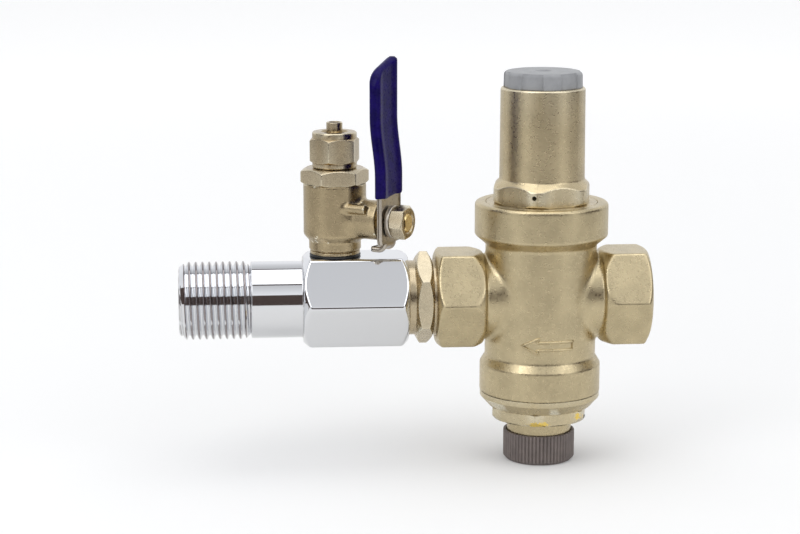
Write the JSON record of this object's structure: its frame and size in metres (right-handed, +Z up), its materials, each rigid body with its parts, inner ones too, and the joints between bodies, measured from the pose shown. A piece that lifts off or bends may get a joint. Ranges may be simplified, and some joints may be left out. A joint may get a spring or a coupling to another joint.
{
  "type": "pressure reducing valve",
  "caption": "Piston pressure reducing valve with threaded inlet, hexagon nipple, threaded feed adapter and a small lever ball valve for a tube.",
  "frame": {"origin": "centre of the inlet port's mouth, on the pipe axis", "axes": "+X along the pipe axis and out of the inlet, +Z up along the spring axis towards the adjusting cap, the lever side towards -Y"},
  "size_m": [0.1267, 0.036, 0.1112],
  "materials": {
    "nickel_satin": "satin nickel plating over a sand-textured brass forging",
    "nickel_bright": "bright nickel plating over turned brass",
    "nipple_nickel": "thin nickel plating over brass, slightly browner",
    "chrome": "mirror chrome plating",
    "brass_raw": "bare machined brass",
    "lever_steel": "plated pressed steel",
    "spring_steel": "drawn spring wire",
    "vinyl_blue": "glossy dip-moulded dark blue vinyl",
    "grey_plastic_light": "moulded grey plastic",
    "grey_plastic_dark": "moulded grey-brown plastic",
    "rubber_black": "moulded rubber",
    "ptfe_white": "turned PTFE"
  },
  "bodies": {
    "root": {"prv_body": "nickel_satin", "bonnet": "nickel_satin", "bonnet_seal": "rubber_black", "seat_ring": "brass_raw", "bottom_plug": "nickel_bright", "bottom_plug_o_ring": "rubber_black", "regulating_spring": "spring_steel", "hex_nipple": "nipple_nickel", "adapter_body": "chrome", "valve_base_o_ring": "rubber_black", "ball_valve_body": "nickel_bright", "ball_seat_lower": "ptfe_white", "ball_seat_upper": "ptfe_white", "end_connector": "nickel_bright", "end_connector_seal": "rubber_black"},
    "lever": {"ball": "chrome", "valve_stem": "brass_raw", "stem_thrust_washer": "ptfe_white", "stem_o_rings": "rubber_black", "lever_plate": "lever_steel", "lever_grip": "vinyl_blue", "lock_washer": "lever_steel", "lever_nut": "nickel_bright"},
    "tube_nut": {"compression_nut": "nickel_bright"},
    "piston_set": {"piston": "brass_raw", "piston_o_ring": "rubber_black", "piston_stem_o_ring": "rubber_black", "valve_disc": "brass_raw", "seat_gasket": "rubber_black", "disc_screw": "lever_steel"},
    "spring_plate": {"spring_plate": "lever_steel"},
    "adjuster": {"adjusting_screw": "brass_raw"},
    "cap": {"top_cap": "grey_plastic_light"},
    "port_seal": {"gauge_port_seal": "rubber_black"},
    "port_cap": {"gauge_port_cap": "grey_plastic_dark"}
  },
  "joints": [
    {"name": "lever_turn", "type": "hinge", "parent": "root", "child": "lever", "pos_m": [-0.0848, 0, 0.0225], "axis": [-0.8572, 0.515, 0], "range_deg": [0, 90]},
    {"name": "piston_travel", "type": "slide", "parent": "root", "child": "piston_set", "axis": [0, 0, 1], "range_m": [0, 0.00235], "stiffness_N_per_m": 12000, "springref_m": -0.012, "deforming": ["regulating_spring"]},
    {"name": "spring_plate_travel", "type": "slide", "parent": "root", "child": "spring_plate", "axis": [0, 0, -1], "range_m": [-0.0015, 0.006], "deforming": ["regulating_spring"]},
    {"name": "adjuster_turn", "type": "hinge", "parent": "spring_plate", "child": "adjuster", "pos_m": [-0.029, 0, 0.048], "axis": [0, 0, -1], "range_deg": [-360, 1440]},
    {"name": "cap_lift", "type": "slide", "parent": "root", "child": "cap", "axis": [0, 0, 1], "range_m": [0, 0.016]},
    {"name": "tube_nut_lift", "type": "slide", "parent": "root", "child": "tube_nut", "axis": [0, 0, 1], "range_m": [0, 0.0125]},
    {"name": "port_seal_travel", "type": "slide", "parent": "root", "child": "port_seal", "axis": [0, 0, -1], "range_m": [0, 0.00668]},
    {"name": "port_cap_turn", "type": "hinge", "parent": "port_seal", "child": "port_cap", "pos_m": [-0.029, 0, -0.042], "axis": [0, 0, -1], "range_deg": [0, 1800]}
  ],
  "couplings": [
    {"joint": "adjuster_turn", "follows": "spring_plate_travel", "rad_per_m": 4188.8},
    {"joint": "port_cap_turn", "follows": "port_seal_travel", "rad_per_m": 4699.5}
  ]
}
